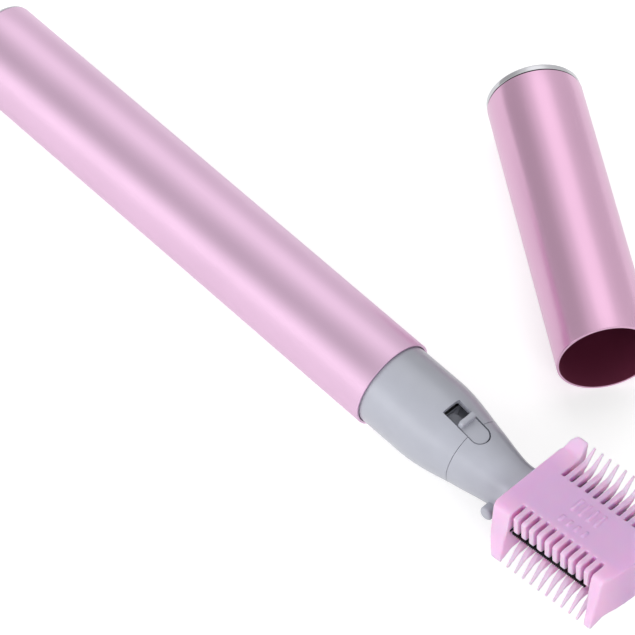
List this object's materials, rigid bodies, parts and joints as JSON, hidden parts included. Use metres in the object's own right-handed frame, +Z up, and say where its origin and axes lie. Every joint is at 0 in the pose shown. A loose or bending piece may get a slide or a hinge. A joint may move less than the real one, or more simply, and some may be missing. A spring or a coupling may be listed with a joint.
{
  "type": "electric eyebrow trimmer",
  "caption": "Pen-shaped battery trimmer with a round metal barrel, a slide switch, a toothed blade, a clip-on comb with short and long teeth, and a separate slip-on cap.",
  "frame": {"origin": "centre of the tail plug's flat end face, on the pen's axis", "axes": "+X along the pen from tail to head, +Z up, square to the surface the pen lies on, +Y to the side the cap lies on"},
  "size_m": [0.1512, 0.0776, 0.0196],
  "materials": {
    "pink_aluminium": "satin anodised, with faint drawn grain along the tube",
    "chrome": "mirror",
    "grey_plastic": "satin moulded",
    "milky_plastic": "milky translucent, satin",
    "dark_plastic": "matte",
    "white_plastic": "matte",
    "steel": "ground",
    "contact_metal": "plain",
    "battery_jacket": "printed film, plain",
    "black_rubber": "matte"
  },
  "bodies": {
    "barrel": {"barrel_tube": "pink_aluminium", "tail_plug": "chrome"},
    "works": {"collar_housing": "grey_plastic", "neck_housing": "grey_plastic", "retaining_ring": "black_rubber", "switch_base": "grey_plastic", "switch_contact": "contact_metal", "battery_chassis": "white_plastic", "battery_cell": "battery_jacket", "battery_spring": "steel", "spring_plate": "steel", "positive_contact": "contact_metal", "motor_can": "steel", "motor_end_cap": "white_plastic", "lever_pivot": "steel", "blade_frame": "dark_plastic", "fixed_blade": "steel", "blade_retainer": "steel", "rear_rivet": "steel", "front_rivet": "steel"},
    "switch": {"switch_slider": "grey_plastic"},
    "rotor": {"motor_shaft": "steel", "motor_armature": "contact_metal", "eccentric_cam": "white_plastic"},
    "lever": {"drive_lever": "white_plastic"},
    "cutter": {"cutter_driver": "white_plastic", "moving_blade": "steel"},
    "comb": {"eyebrow_comb": "milky_plastic"},
    "cap": {"cap_tube": "pink_aluminium", "cap_plug": "chrome"}
  },
  "joints": [
    {"name": "works_pull", "type": "slide", "parent": "barrel", "child": "works", "axis": [1, 0, 0], "range_m": [0, 0.065]},
    {"name": "switch_slide", "type": "slide", "parent": "works", "child": "switch", "axis": [-0.9875, 0, 0.1576], "range_m": [0, 0.0029]},
    {"name": "motor_spin", "type": "hinge", "parent": "works", "child": "rotor", "pos_m": [0.0966, 0, 0], "axis": [1, 0, 0], "continuous": true},
    {"name": "cutter_slide", "type": "slide", "parent": "works", "child": "cutter", "axis": [0.9903, 0, 0.1392], "range_m": [-0.00036, 0.00036]},
    {"name": "lever_swing", "type": "hinge", "parent": "works", "child": "lever", "pos_m": [0.1151, 0, 0], "axis": [0, 0, 1], "range_deg": [-10, 10]},
    {"name": "comb_pull", "type": "slide", "parent": "works", "child": "comb", "axis": [0.9903, 0, 0.1392], "range_m": [0, 0.024]},
    {"name": "cap_pull", "type": "slide", "parent": "barrel", "child": "cap", "axis": [-0.83, 0.5577, 0], "range_m": [0, 0.05]}
  ],
  "couplings": [
    {"joint": "lever_swing", "follows": "cutter_slide", "rad_per_m": 476.19}
  ]
}
